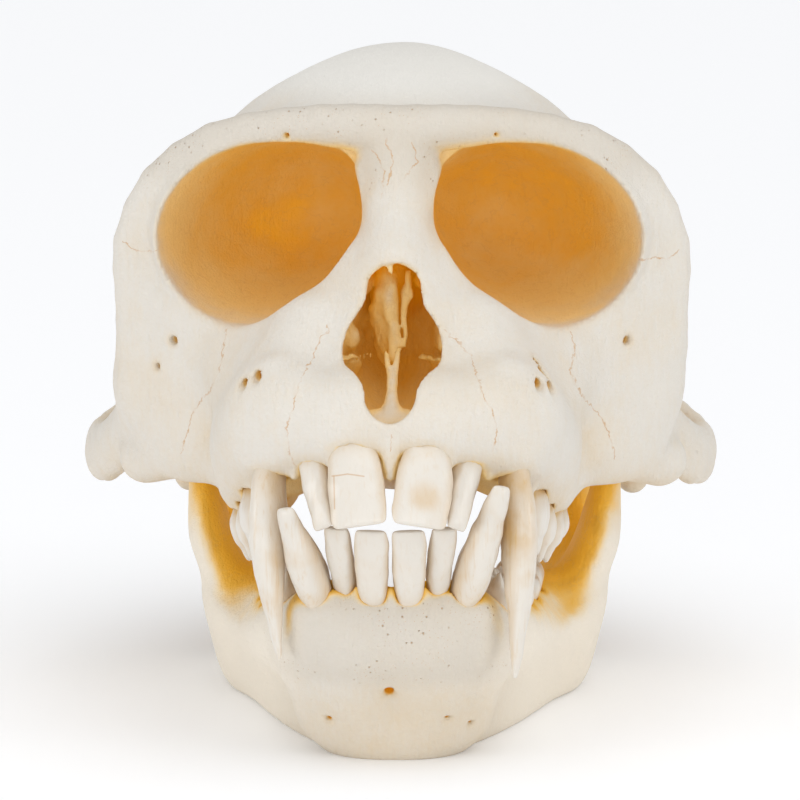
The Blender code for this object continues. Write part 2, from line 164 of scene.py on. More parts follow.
# Bone that stands between two teeth: the tip of each peak, and how far it rises
UPPER_PEAKS = [
    ((0.0, -49.2, 31.9), 3.0),
    ((5.8, -48.4, 32.3), 2.6),
    ((10.0, -45.4, 31.3), 3.0),
    ((14.2, -39.6, 28.4), 2.5),
    ((14.6, -33.2, 25.4), 2.5),
    ((14.9, -27.6, 23.2), 2.5),
    ((15.2, -21.2, 22.4), 2.5),
    ((15.3, -14.5, 22.3), 2.5),
]
LOWER_PEAKS = [
    ((0.0, -46.3, 19.5), -2.6),
    ((3.4, -46.0, 19.4), -2.6),
    ((6.3, -45.6, 18.8), -2.4),
    ((9.9, -40.8, 16.6), -2.4),
    ((10.9, -34.8, 15.6), -2.2),
    ((11.7, -28.8, 15.0), -2.2),
    ((12.3, -22.4, 14.6), -2.2),
    ((12.8, -15.8, 14.4), -2.2),
]
# Slivers along the upper edge of the nose: start, end, radius
NOSE_SPURS = [
    ((-0.6, -33.8, 52.6), (-0.4, -34.6, 51.2), 0.45),
    ((-1.9, -33.4, 52.4), (-1.8, -34.2, 51.7), 0.40),
    ((1.6, -33.4, 52.4), (1.5, -34.0, 51.8), 0.40),
]
CHIN_RIDGE = [
    (8.9, -44.2, 16.6),
    (7.6, -43.6, 11.6),
    (5.8, -41.6, 7.2),
]

# Each line of a suture or crack, seen from the front: (x, z) points
SUTURES = [
    [(-30.3, 52.2), (-28.6, 51.1), (-26.1, 51.6)],
    [(25.5, 50.7), (27.2, 50.7), (29.1, 50.5), (30.3, 51.4)],
    [(-18.4, 43.9), (-18.6, 40.9), (-20.0, 37.5), (-22.4, 34.1), (-22.9, 32.4), (-23.7, 29.5)],
    [(18.6, 43.7), (19.0, 42.1), (18.5, 40.0), (20.4, 36.0), (22.2, 33.5), (23.1, 31.0), (23.4, 29.1)],
    [(-6.8, 46.0), (-8.9, 42.2), (-9.4, 41.2), (-9.9, 39.0), (-10.7, 36.6), (-10.4, 33.9), (-9.8, 32.6)],
    [(5.4, 45.7), (8.2, 43.4), (9.5, 40.4), (10.9, 37.2), (10.9, 35.8), (10.4, 34.5)],
    [(0.2, 36.4), (0.2, 34.6)],
    [(-1.3, 64.6), (-0.5, 62.2), (-0.9, 59.7)],
    [(-2.7, 63.2), (-1.3, 61.0), (-1.7, 58.4)],
    [(1.6, 64.1), (2.2, 62.0), (0.8, 60.4)],
]

# One row for each tooth: gum point, tip point, width and depth at the gum, width and depth at
# the tip, the way its outer face looks in degrees from straight ahead, root length, bow, kind
UPPER_TEETH = {
    "incisor_central": ((3.95, -47.0, 35.4), (3.0, -51.8, 27.2), 4.1, 3.4, 6.5, 1.4, 4, 3.4, 0.3, "edge"),
    "incisor_lateral": ((7.8, -45.2, 33.6), (6.8, -49.4, 26.5), 3.1, 3.0, 2.6, 1.1, 30, 3.2, 0.3, "edge"),
    "canine": ((12.2, -43.0, 32.6), (12.3, -46.2, 11.2), 2.8, 4.0, 0.7, 0.8, 40, 4.0, 1.2, "point"),
    "premolar_first": ((13.9, -36.0, 27.6), (14.4, -36.4, 21.4), 5.0, 4.2, 3.0, 2.2, 75, 2.8, 0.0, "cusps"),
    "premolar_second": ((14.5, -30.6, 25.2), (14.6, -30.6, 19.9), 5.2, 4.8, 4.2, 3.6, 85, 2.6, 0.0, "cusps"),
    "molar_first": ((15.0, -24.6, 23.9), (15.0, -24.4, 18.9), 6.1, 5.6, 5.6, 4.4, 90, 2.6, 0.0, "cusps"),
    "molar_second": ((15.4, -17.9, 23.2), (15.3, -17.9, 18.5), 6.3, 5.8, 5.8, 4.6, 90, 2.6, 0.0, "cusps"),
    "molar_third": ((15.3, -11.2, 23.1), (15.2, -11.4, 18.6), 5.9, 5.4, 5.2, 4.2, 92, 2.6, 0.0, "cusps"),
}
LOWER_TEETH = {
    "incisor_central": ((1.85, -44.8, 17.8), (1.95, -49.4, 26.3), 2.3, 3.2, 4.0, 1.4, 4, 3.2, 0.2, "edge"),
    "incisor_lateral": ((4.5, -43.7, 18.4), (5.6, -48.2, 26.4), 1.7, 3.0, 3.2, 1.5, 18, 3.2, 0.2, "edge"),
    "canine": ((7.1, -43.9, 17.6), (11.2, -48.4, 29.6), 2.9, 4.2, 2.7, 1.8, 25, 3.6, 0.3, "point"),
    "premolar_first": ((10.2, -38.2, 15.6), (10.9, -38.6, 20.2), 3.8, 6.0, 1.8, 3.0, 55, 2.8, 0.0, "cusps"),
    "premolar_second": ((11.2, -31.9, 14.8), (11.7, -31.9, 19.2), 4.0, 4.8, 3.0, 3.4, 78, 2.6, 0.0, "cusps"),
    "molar_first": ((12.0, -25.7, 14.3), (12.4, -25.6, 18.0), 5.4, 5.0, 4.6, 3.8, 84, 2.6, 0.0, "cusps"),
    "molar_second": ((12.5, -19.2, 13.9), (12.9, -19.1, 17.7), 5.8, 5.2, 5.0, 4.0, 86, 2.6, 0.0, "cusps"),
    "molar_third": ((13.0, -12.2, 13.8), (13.3, -12.2, 17.6), 6.2, 5.0, 5.2, 3.8, 88, 2.6, 0.0, "cusps"),
}
INCISOR_CRACKS = (
    ((-5.9, 32.1), (-4.3, 32.4), (-2.6, 32.2)),
    ((-5.7, 32.1), (-5.6, 28.9)),
)
TIP_SHIFTS = {
    "upper_canine_left": (0.6, 0.0, -0.9),
    "upper_canine_right": (-0.7, 0.0, 0.9),
    "lower_canine_left": (0.3, 0.0, 1.2),
    "lower_canine_right": (-0.3, 0.0, -1.2),
}
SOCKET_GAP = 0.22
CROWN_SWELL = {"point": 0.26, "edge": 0.08, "cusps": 0.10}
WIDTH_ROUNDNESS = {"point": 0.25, "edge": 0.15, "cusps": 0.25}
DEPTH_ROUNDNESS = 0.5
TOOTH_SEGMENTS = 40
TOOTH_RINGS = 44
CHAIN_BLEND = 0.3
CURVE_NEAR = 9 / 16
CURVE_FAR = 1 / 16
WIDTH_POWER = {"point": 3.6, "edge": 0.8, "cusps": 2.2}
DEPTH_POWER = {"point": 1.8, "edge": 1.0, "cusps": 2.2}
ROOT_TAPER = 0.45
SWELL_SPAN = 1.3
CUSP_HEIGHT = 1.1
CUSP_SINK = 0.8
CUSP_START = 0.72
CUSP_PLACE = (0.55, 0.5)
CUSP_SPREAD = 0.09
BROAD_RIPPLE = 0.16
LONG_RIPPLE = 0.07
SECTION_SQUARENESS = {"point": 2.0, "edge": 2.6, "cusps": 3.0}

# The photograph's camera
CAMERA_TARGET = Vector((0.00078, 0.0, 0.038))
CAMERA_DISTANCE = 0.55
CAMERA_LENS = 220.0
CAMERA_AZIMUTH = 1.8
CAMERA_ELEVATION = 8.0
CAMERA_SHIFT = (-0.00625, -0.06125)

# Studio: the place in metres and the power of each soft lamp, the sky, and the floor
LAMP_SIZE = 0.5
LAMPS = {
    "left_light": ((-0.80, -0.50, 0.06), 2.9),
    "right_light": ((0.80, -0.50, 0.06), 2.2),
    "front_light": ((0.0, -0.95, 0.03), 1.7),
}
SKY_POWER = 1.35
SKY_SOFTNESS = 70
SKY_TURN = (16, 8, 0)
WORLD_STRENGTH = 0.48
FLOOR_COLOUR = (0.955, 0.965, 0.985, 1)
FLOOR_GLOW = 0.09
FLOOR_CORNERS = [(-6, -4, 0), (6, -4, 0), (6, 12, 0), (-6, 12, 0)]


class Field:
    """A number or a vector that varies through space, held by an output of a node."""

    def __init__(self, tree, socket):
        self.tree = tree
        self.socket = socket

    def node(self, kind, operation, *inputs):
        made = self.tree.nodes.new(kind)
        made.operation = operation
        for index, value in enumerate(inputs):
            if isinstance(value, Field):
                self.tree.links.new(value.socket, made.inputs[index])
            elif value is not None:
                made.inputs[index].default_value = value
        return made

    def math(self, operation, *others):
        return Field(self.tree, self.node("ShaderNodeMath", operation, self, *others).outputs[0])

    def vector(self, operation, *others):
        return Field(self.tree, self.node("ShaderNodeVectorMath", operation, self, *others).outputs[0])

    def __add__(self, other):
        return self.math("ADD", other)

    def __sub__(self, other):
        return self.math("SUBTRACT", other)

    def __mul__(self, other):
        return self.math("MULTIPLY", other)

    def __truediv__(self, other):
        return self.math("DIVIDE", other)

    def length(self):
        return Field(self.tree, self.node("ShaderNodeVectorMath", "LENGTH", self).outputs["Value"])

    def dot(self, other):
        made = self.node("ShaderNodeVectorMath", "DOT_PRODUCT", self, other)
        return Field(self.tree, made.outputs["Value"])

    def turned(self, degrees):
        made = self.tree.nodes.new("ShaderNodeVectorRotate")
        made.rotation_type = "EULER_XYZ"
        made.invert = True
        made.inputs["Rotation"].default_value = [math.radians(angle) for angle in degrees]
        self.tree.links.new(self.socket, made.inputs["Vector"])
        return Field(self.tree, made.outputs[0])

    def parts(self):
        made = self.tree.nodes.new("ShaderNodeSeparateXYZ")
        self.tree.links.new(self.socket, made.inputs[0])
        return [Field(self.tree, output) for output in made.outputs]

    def joined(self, other, blend):
        return self.math("SMOOTH_MIN", other, blend)

    def cut_by(self, other, blend):
        return self.math("SMOOTH_MAX", other * -1.0, blend)

    def ramp(self, low, high, first=0.0, last=1.0):
        """A smooth step from first, where this is low, to last, where it is high."""
        made = self.tree.nodes.new("ShaderNodeMapRange")
        made.interpolation_type = "SMOOTHSTEP"
        self.tree.links.new(self.socket, made.inputs["Value"])
        for name, value in zip(("From Min", "From Max", "To Min", "To Max"), (low, high, first, last)):
            made.inputs[name].default_value = value
        return Field(self.tree, made.outputs["Result"])

    def noise(self, scale, detail=2.0, roughness=0.5, colour=False):
        made = self.tree.nodes.new("ShaderNodeTexNoise")
        self.tree.links.new(self.socket, made.inputs["Vector"])
        made.inputs["Scale"].default_value = scale
        made.inputs["Detail"].default_value = detail
        made.inputs["Roughness"].default_value = roughness
        return Field(self.tree, made.outputs["Color" if colour else "Fac"])


def combined(x, y, z):
    made = x.tree.nodes.new("ShaderNodeCombineXYZ")
    for index, value in enumerate((x, y, z)):
        x.tree.links.new(value.socket, made.inputs[index])
    return Field(x.tree, made.outputs[0])


def ellipsoid(place, centre, radii, turn=(0, 0, 0)):
    local = place.vector("SUBTRACT", centre).turned(turn)
    near = local.vector("DIVIDE", radii).length()
    steep = local.vector("DIVIDE", [radius * radius for radius in radii]).length()
    return near * (near - 1.0) / steep


def limb(place, start, end, start_radius, end_radius, flat=(1, 1, 1)):
    """A rounded bar from start to end, pressed thinner along an axis whose flat value is under 1."""
    span = Vector([(b - a) / f for a, b, f in zip(start, end, flat)])
    local = place.vector("SUBTRACT", start).vector("DIVIDE", flat)
    along = (local.dot(span) / span.length_squared).math("MAXIMUM", 0.0).math("MINIMUM", 1.0)
    spine = combined(along * span.x, along * span.y, along * span.z)
    radius = along * (end_radius - start_radius) + start_radius
    return (local.vector("SUBTRACT", spine).length() - radius) * min(flat)


def rounded(values):
    """The values with a point of a smooth curve through them added in each gap."""
    ends = [values[0], *values, values[-1]]
    made = [values[0]]
    for before, start, end, after in zip(ends, ends[1:], ends[2:], ends[3:]):
        made += [(start + end) * CURVE_NEAR - (before + after) * CURVE_FAR, end]
    return made


def chain(place, points, radii, flat=(1, 1, 1)):
    form = None
    points = rounded([Vector(point) for point in points])
    radii = rounded(radii)
    for index in range(len(points) - 1):
        bar = limb(place, points[index], points[index + 1], radii[index], radii[index + 1], flat)
        form = bar if form is None else form.joined(bar, CHAIN_BLEND)
    return form


def mirrored(place):
    x, y, z = place.parts()
    return combined(x.math("ABSOLUTE"), y, z)


def tapered(place):
    """Space pinched towards the midline in front of the widest part of the braincase."""
    x, y, z = place.parts()
    pinch = ((y * -1.0) + VAULT_CENTRE[1]).math("MAXIMUM", 0.0) * FRONT_TAPER + 1.0
    return combined(x * pinch, y, z)


def braincase(place, side):
    form = ellipsoid(tapered(place), VAULT_CENTRE, VAULT_RADII, (VAULT_TILT, 0, 0))
    form = form.joined(ellipsoid(place, KEEL_CENTRE, KEEL_RADII), 5.0)
    form = form.joined(ellipsoid(place, (0, 36.5, 41.0), (22.0, 14.5, 15.0)), 6.0)
    form = form.joined(ellipsoid(place, (0, 24.0, 31.0), (22.0, 21.0, 10.5)), 6.0)
    form = form.joined(ellipsoid(place, (0, -5.0, 56.0), (20.5, 17.0, 11.0)), 5.0)
    form = form.joined(limb(side, (19.0, 26.0, 25.5), (25.0, 22.5, 24.5), 5.0, 3.6), 4.0)
    form = form.joined(limb(side, (24.5, 23.0, 23.5), (26.0, 22.5, 20.0), 2.6, 1.8), 2.5)
    form = form.joined(limb(side, (6.0, 31.0, 23.5), (7.0, 28.5, 21.0), 2.8, 2.2), 2.0)
    return form.joined(limb(place, (0, -8.0, 36.0), (0, 20.0, 29.0), 9.0, 8.0), 5.0)


def face(place, side):
    form = ellipsoid(side, (14.6, -11.5, 53.6), (12.6, 17.5, 11.4), (0, 10.0, 12.0))
    form = form.joined(chain(side, BROW_POINTS, (2.4, 2.6, 2.7, 2.5, 2.3, 2.2, 2.4, 2.8)), 3.0)
    form = form.joined(chain(side, ORBIT_RIM_POINTS, (1.2, 1.2, 1.6, 1.9, 2.0, 2.0, 2.2)), 2.5)
    form = form.joined(limb(place, (0, -22.0, 63.0), (0, -25.4, 57.0), 3.6, 3.2), 2.0)
    form = form.joined(limb(place, (0, -25.4, 57.0), (0, -31.5, 51.6), 3.2, 3.4), 2.0)
    form = form.joined(ellipsoid(side, (22.6, -16.8, 37.6), (10.6, 3.4, 11.6), (0, 0, 38.0)), 3.0)
    return form.joined(limb(side, (20.0, -18.5, 30.6), (28.5, -8.0, 27.2), 3.2, 3.0), 3.0)


def upper_jaw(place, side):
    form = limb(place, (0, -26.0, 45.5), (0, -36.0, 38.5), 9.6, 9.0)
    form = form.joined(limb(side, (9.0, -26.0, 41.0), (10.5, -35.5, 35.0), 8.4, 6.6), 5.0)
    form = form.joined(limb(side, (14.0, -19.0, 38.0), (13.0, -14.0, 33.0), 7.5, 7.0), 4.0)
    form = form.joined(limb(side, (8.6, -33.0, 44.0), (11.6, -39.6, 36.6), 4.4, 5.3), 5.0)
    form = form.joined(limb(side, (15.5, -22.5, 39.5), (14.0, -31.5, 33.0), 5.0, 5.0), 5.0)
    return form.joined(chain(side, UPPER_ALVEOLAR, (4.6, 4.9, 5.4, 5.0, 4.6, 4.3, 3.7)), 5.0)


def openings(place, form, side):
    orbit = ellipsoid(side, ORBIT_CENTRE, ORBIT_RADII, ORBIT_TURN)
    orbit = orbit.joined(ellipsoid(side, (9.8, -20.0, 57.6), (5.6, 13.0, 5.6)), 3.0)
    nose = ellipsoid(place, (0, -36.0, 42.6), (5.6, 13.0, 6.2))
    nose = nose.joined(ellipsoid(place, (0, -39.5, 39.4), (4.2, 11.5, 3.7)), 1.5)
    nose = nose.joined(ellipsoid(place, (0, -30.0, 48.4), (3.4, 10.0, 4.2)), 2.5)
    palate = ellipsoid(place, (0, -22.0, 23.0), (10.0, 21.0, 7.6))
    form = form.cut_by(orbit, 1.0).cut_by(nose, 0.8).cut_by(palate, 2.0)
    return form.cut_by(ellipsoid(place, (0, 34.0, 21.5), (6.4, 7.4, 7.5), (25, 0, 0)), 1.5)


def nose_inside(place, side):
    """The plates in the nasal passage: partition, side scrolls, and the fork above the floor."""
    wobble = place.noise(0.35, 2.0, 0.5, True).vector("SUBTRACT", (0.5, 0.5, 0.5))
    bent = place.vector("ADD", wobble.vector("MULTIPLY", (2.4, 2.4, 2.4)))
    folds = mirrored(bent)
    form = ellipsoid(bent, (-0.9, -27.5, 46.8), (1.9, 5.0, 6.2))
    form = form.joined(limb(bent, (-0.9, -31.5, 49.0), (0.1, -33.0, 41.5), 0.7, 0.5), 1.5)
    form = form.joined(limb(bent, (1.3, -31.0, 50.5), (1.0, -32.5, 43.0), 0.45, 0.4), 0.8)
    form = form.joined(ellipsoid(folds, (5.0, -29.5, 44.4), (0.8, 5.5, 2.0), (0, 20.0, 8.0)), 0.8)
    form = form.joined(ellipsoid(folds, (4.9, -30.0, 40.4), (0.7, 5.0, 1.6), (0, -25.0, 8.0)), 0.8)
    form = form.joined(limb(folds, (2.6, -29.0, 50.0), (4.8, -33.5, 46.4), 0.5, 0.4), 0.6)
    form = form.joined(limb(folds, (5.4, -35.0, 42.2), (2.6, -31.0, 41.6), 0.35, 0.3), 0.5)
    form = form.joined(limb(place, (-0.9, -34.5, 42.6), (-0.25, -38.0, 39.9), 0.36, 0.4), 0.4)
    form = form.joined(limb(place, (0.45, -34.5, 43.0), (-0.05, -38.0, 39.9), 0.36, 0.4), 0.4)
    form = form.joined(limb(place, (-0.15, -38.0, 40.0), (-0.15, -40.6, 37.6), 0.45, 0.9), 0.8)
    return form.joined(ellipsoid(place, (-0.15, -40.0, 36.3), (3.9, 3.4, 1.3)), 1.4)


def bone_between_teeth(side, form, peaks):
    for (x, y, z), rise in peaks:
        form = form.joined(limb(side, (x, y + 0.8, z + rise), (x, y, z), 1.2, 0.5), 1.0)
    return form


def sockets(place, form, teeth, peaks):
    """Raised bone over each root, then the socket itself, with a narrow gap round the tooth."""
    side = mirrored(place)
    for row in teeth.values():
        gum, tip = Vector(row[0]), Vector(row[1])
        axis = (tip - gum).normalized()
        radius = (row[2] + row[3]) / 4
        if row[9] != "cusps":
            reach, swell = (9.0, 0.8) if row[9] == "point" else (5.0, 0.3)
            far = gum - axis * reach
            form = form.joined(limb(side, gum - axis * 1.0, far, radius + swell, radius * 0.5), 4.0)
    form = bone_between_teeth(side, form, peaks)
    for row in teeth.values():
        gum, tip = Vector(row[0]), Vector(row[1])
        root_end = gum - (tip - gum).normalized() * (row[7] + 0.2)
        radius = (row[2] + row[3]) / 4
        form = form.cut_by(limb(side, tip, root_end, radius + SOCKET_GAP, radius * 0.8 + SOCKET_GAP), 0.3)
    return form


def pricked(place, form, holes):
    for centre, radius in holes:
        inward = (centre[0] * 0.9, centre[1] + 3.0, centre[2] + 0.6)
        outside = (centre[0] * 1.07, centre[1] - 2.1, centre[2] - 0.4)
        form = form.cut_by(limb(place, outside, inward, radius * 1.15, radius * 0.5), 0.5)
    return form


def weathered(place, form, amount):
    return form + (place.noise(0.16, 3.0) - 0.5) * amount + (place.noise(0.9, 2.0) - 0.5) * 0.08


def cranium_form(place):
    side = mirrored(place)
    form = braincase(place, side).joined(face(place, side), 6.0)
    form = form.joined(upper_jaw(place, side), 3.5)
    arch_side = mirrored(place.vector("ADD", ARCH_SHIFT))
    form = form.joined(chain(arch_side, ARCH_POINTS, (4.8, 3.9, 3.4, 3.3, 3.4, 4.0), (0.6, 1, 1)), 2.0)
    form = form.joined(limb(side, (7.5, -5.0, 31.0), (9.0, 3.5, 23.5), 2.4, 1.4, (0.6, 1, 1)), 2.0)
    form = openings(place, form, side)
    form = form.joined(nose_inside(place, side), 0.6)
    form = sockets(place, form, UPPER_TEETH, UPPER_PEAKS)
    for start, end, radius in NOSE_SPURS:
        form = form.joined(limb(place, start, end, radius, radius * 0.5), 0.5)
    return weathered(place, pricked(place, form, FORAMINA), 0.2)


def lower_border(side):
    """The lower edge of the jaw: an upright band that follows a parabola round the chin."""
    x, y, z = side.parts()
    steep = ((x * x) * (4 * BORDER_BEND ** 2) + 1.0).math("SQRT")
    outside = ((x * x) * BORDER_BEND - y + BORDER_FRONT) / steep - z * 0.26
    wall = outside.cut_by(outside + BORDER_THICKNESS, 3.0)
    wall = wall.math("SMOOTH_MAX", z - BORDER_TOP, 4.0)
    outer = (x - LIFT_START).math("MAXIMUM", 0.0)
    wall = wall.math("SMOOTH_MAX", outer * outer * LIFT_BEND - z - 0.7, 4.0)
    wall = wall.math("SMOOTH_MAX", x - z * BORDER_FLARE - BORDER_HALF_WIDTH, 3.0)
    return wall.math("SMOOTH_MAX", y - BORDER_REAR, 8.0)


def mandible_form(place):
    side = mirrored(place)
    form = lower_border(side)
    form = form.joined(chain(side, LOWER_ALVEOLAR, (4.6, 4.4, 4.4, 4.1, 3.9, 3.8, 3.7, 3.4)), 5.0)
    form = form.joined(limb(side, (3.6, -43.2, 13.6), (3.6, -36.4, 4.6), 4.2, 4.2), 5.0)
    form = form.joined(limb(side, (8.2, -41.0, 13.6), (6.6, -35.0, 5.0), 3.9, 3.8), 4.0)
    front = limb(side, (18.8, -1.0, 8.0), (22.3, -1.5, 19.0), 6.4, 4.4, (0.4, 1, 1))
    front = front.joined(limb(side, (22.3, -1.5, 19.0), (24.0, 0.5, 31.0), 4.4, 1.8, (0.4, 1, 1)), 2.0)
    back = limb(side, (17.0, 9.5, 6.9), (19.6, 12.0, 17.0), 7.4, 5.6, (0.36, 1, 1))
    back = back.joined(limb(side, (19.6, 12.0, 17.0), (22.6, 16.0, 22.5), 5.6, 2.6, (0.5, 1, 1)), 2.0)
    form = form.joined(front.joined(back, 3.0), 5.0)
    form = form.joined(ellipsoid(side, (23.4, 17.0, 23.6), (4.2, 2.1, 1.8)), 1.5)
    form = form.joined(chain(side, CHIN_RIDGE, (1.7, 1.5, 0.9)), 2.5)
    form = sockets(place, form, LOWER_TEETH, LOWER_PEAKS)
    return weathered(place, pricked(place, form, JAW_FORAMINA), 0.2)


def new_geometry_tree(name):
    tree = bpy.data.node_groups.new(name, "GeometryNodeTree")
    tree.interface.new_socket("Geometry", in_out="INPUT", socket_type="NodeSocketGeometry")
    tree.interface.new_socket("Geometry", in_out="OUTPUT", socket_type="NodeSocketGeometry")
    return tree


def form_tree(name, form_of, low, high, finish):
    """A tree that makes the closed surface where form_of is zero; its input is the voxel size."""
    tree = new_geometry_tree(name)
    voxel = tree.interface.new_socket("Voxel", in_out="INPUT", socket_type="NodeSocketFloat")
    entry = tree.nodes.new("NodeGroupInput")
    position = Field(tree, tree.nodes.new("GeometryNodeInputPosition").outputs[0])
    scaled = position.vector("MULTIPLY", (1 / MM, 1 / MM, 1 / MM))
    form = form_of(scaled.vector("ADD", (MIDDLE_X, MIDDLE_Y, 0)))
    cube = tree.nodes.new("GeometryNodeVolumeCube")
    tree.links.new((form * -1.0 + 1.0).socket, cube.inputs["Density"])
    cube.inputs["Min"].default_value = [value * MM for value in low]
    cube.inputs["Max"].default_value = [value * MM for value in high]
    for axis, first, last in zip("XYZ", low, high):
        count = tree.nodes.new("ShaderNodeMath")
        count.operation = "DIVIDE"
        count.inputs[0].default_value = last - first
        tree.links.new(entry.outputs["Voxel"], count.inputs[1])
        tree.links.new(count.outputs[0], cube.inputs["Resolution " + axis])
    surface = tree.nodes.new("GeometryNodeVolumeToMesh")
    surface.inputs["Threshold"].default_value = 1.0
    realized = tree.nodes.new("GeometryNodeRealizeInstances")
    painted = tree.nodes.new("GeometryNodeSetMaterial")
    painted.inputs["Material"].default_value = finish
    tree.links.new(cube.outputs[0], surface.inputs[0])
    tree.links.new(surface.outputs[0], realized.inputs[0])
    tree.links.new(realized.outputs[0], painted.inputs[0])
    tree.links.new(painted.outputs[0], tree.nodes.new("NodeGroupOutput").inputs[0])
    return tree, voxel.identifier


def evaluated_mesh(holder):
    bpy.context.view_layer.update()
    return bpy.data.meshes.new_from_object(holder.evaluated_get(bpy.context.evaluated_depsgraph_get()))


def holder_object(name, mesh=None):
    made = bpy.data.objects.new(name, mesh or bpy.data.meshes.new(name))
    bpy.context.scene.collection.objects.link(made)
    return made


def bone_mesh(name, form_of, low, high, triangles, finish):
    holder = holder_object(name + "_form")
    tree, voxel_input = form_tree(name, form_of, low, high, finish)
    maker = holder.modifiers.new("form", "NODES")
    maker.node_group = tree
    maker[voxel_input] = BONE_VOXEL
    mesh = evaluated_mesh(holder)
    bpy.data.objects.remove(holder)
    holder = holder_object(name + "_thin", mesh)
    thinner = holder.modifiers.new("thin", "DECIMATE")
    thinner.ratio = min(1.0, triangles / (2 * len(mesh.polygons)))
    thinned = evaluated_mesh(holder)
    bpy.data.objects.remove(holder)
    thinned.shade_smooth()
    return thinned


def smooth_ramp(value):
    value = min(1.0, max(0.0, value))
    return value * value * (3 - 2 * value)


def tooth_section(kind, up, row):
    """Half width and half depth of a tooth at up, 0 at the gum, 1 at the tip, under 0 in the root."""
    gum_width, gum_depth, tip_width, tip_depth, root = row[2], row[3], row[4], row[5], row[7]
    crown = (Vector(row[1]) - Vector(row[0])).length
    if up < 0:
        narrow = 1.0 - ROOT_TAPER * (up * crown / root) ** 2
        return gum_width / 2 * narrow, gum_depth / 2 * narrow
    swell = 1.0 + CROWN_SWELL[kind] * math.sin(math.pi * min(1.0, up * SWELL_SPAN))
    width = (gum_width + (tip_width - gum_width) * up ** WIDTH_POWER[kind]) * swell
    depth = (gum_depth + (tip_depth - gum_depth) * up ** DEPTH_POWER[kind]) * swell
    return width / 2, depth / 2


def tooth_mesh(name, row, mirror, seed):
    gum, tip, facing, root, bow, kind = Vector(row[0]), Vector(row[1]), row[6], row[7], row[8], row[9]
    axis = (tip - gum).normalized()
    outward = Vector((math.sin(math.radians(facing)), -math.cos(math.radians(facing)), 0))
    outward = (outward - axis * outward.dot(axis)).normalized()
    across = outward.cross(axis)
    crown = (tip - gum).length
    total = crown + root
    squareness = SECTION_SQUARENESS[kind]
    bm = bmesh.new()
    bmesh.ops.create_uvsphere(bm, u_segments=TOOTH_SEGMENTS, v_segments=TOOTH_RINGS, radius=1.0)
    rises, flanks = [], []
    for vertex in bm.verts:
        x, y, z = vertex.co
        height = (z + 1) / 2
        ring = math.hypot(x, y)
        angle = math.atan2(y, x)
        up = (height * total - root) / crown
        rises.append(up)
        half_width, half_depth = tooth_section(kind, up, row)
        lobe = (abs(math.cos(angle)) ** squareness + abs(math.sin(angle)) ** squareness) ** (-1 / squareness)
        end = ring ** WIDTH_ROUNDNESS[kind] if ring > 1e-4 else 0.0
        end_depth = ring ** DEPTH_ROUNDNESS if ring > 1e-4 else 0.0
        u, v = math.cos(angle) * lobe * end, math.sin(angle) * lobe * end_depth
        flanks.append(abs(u))
        rise = height * total - root
        if kind == "cusps":
            off_u, off_v = abs(u) - CUSP_PLACE[0], abs(v) - CUSP_PLACE[1]
            cusp = math.exp(-(off_u ** 2 + off_v ** 2) / CUSP_SPREAD)
            rise += (CUSP_HEIGHT * cusp - CUSP_SINK) * smooth_ramp((height - CUSP_START) * 5)
        bend = bow * math.sin(math.pi * min(1.0, max(0.0, (rise + root) / total)))
        point = gum + across * (u * half_width) + outward * (v * half_depth + bend) + axis * rise
        stretched = Vector((point.x * 1.6, point.y * 1.6, point.z * 0.3 + seed))
        ripple = noise.noise(point * 0.55 + Vector((seed, 0, 0))) * BROAD_RIPPLE
        ripple += noise.noise(stretched) * LONG_RIPPLE
        point += (across * u + outward * v) * ripple
        if mirror:
            point.x = -point.x
        vertex.co = (point - Vector((MIDDLE_X, MIDDLE_Y, 0))) * MM
    if mirror:
        bmesh.ops.reverse_faces(bm, faces=bm.faces)
    mesh = bpy.data.meshes.new(name)
    bm.to_mesh(mesh)
    bm.free()
    mesh.attributes.new("rise", "FLOAT", "POINT").data.foreach_set("value", rises)
    # flank tells how far to the side of a tooth a point lies; it places the painted shade on the sides.
    mesh.attributes.new("flank", "FLOAT", "POINT").data.foreach_set("value", flanks)
    mesh.shade_smooth()
    return mesh


# Colours of dry bone and enamel, with the painted shade and painted light laid on them, as linear values
BONE_PALE = (0.72, 0.68, 0.615, 1.0)
BONE_WARM = (0.71, 0.605, 0.46, 1.0)
BONE_SHADE_OCHRE = (0.84, 0.62, 0.28, 1.0)
BONE_SHADE_AMBER = (0.86, 0.48, 0.06, 1.0)
SUTURE_BROWN = (0.56, 0.33, 0.15, 1.0)
BONE_PAINTED_TOP_LIGHT = (0.83, 0.81, 0.76, 1.0)
BONE_WORN = (0.61, 0.555, 0.475, 1.0)
BONE_PAINTED_FILL_CREAM = (0.86, 0.785, 0.665, 1.0)
# Painted light: the deep hollows shine amber though no lamp is there
BONE_PAINTED_GLOW = (1.0, 0.52, 0.0, 1.0)
ENAMEL = (0.73, 0.685, 0.615, 1.0)
ENAMEL_STAIN_AND_SHADE = (0.62, 0.42, 0.20, 1.0)


def mixed(tree, share, first, second):
    """Colour first where share is 0 and second where it is 1."""
    made = tree.nodes.new("ShaderNodeMix")
    made.data_type = "RGBA"
    if isinstance(share, Field):
        tree.links.new(share.socket, made.inputs["Factor"])
    for name, colour in (("A", first), ("B", second)):
        socket = [entry for entry in made.inputs if entry.name == name and entry.type == "RGBA"][0]
        if isinstance(colour, Field):
            tree.links.new(colour.socket, socket)
        else:
            socket.default_value = colour
    return Field(tree, [entry for entry in made.outputs if entry.type == "RGBA"][0])


def attribute(tree, name):
    made = tree.nodes.new("ShaderNodeAttribute")
    made.attribute_name = name
    return Field(tree, made.outputs["Fac"])


def object_place(tree):
    """The shaded point in millimetres of the design."""
    place = Field(tree, tree.nodes.new("ShaderNodeTexCoord").outputs["Object"])
    return place.vector("MULTIPLY_ADD", (1 / MM, 1 / MM, 1 / MM), (MIDDLE_X, MIDDLE_Y, 0))


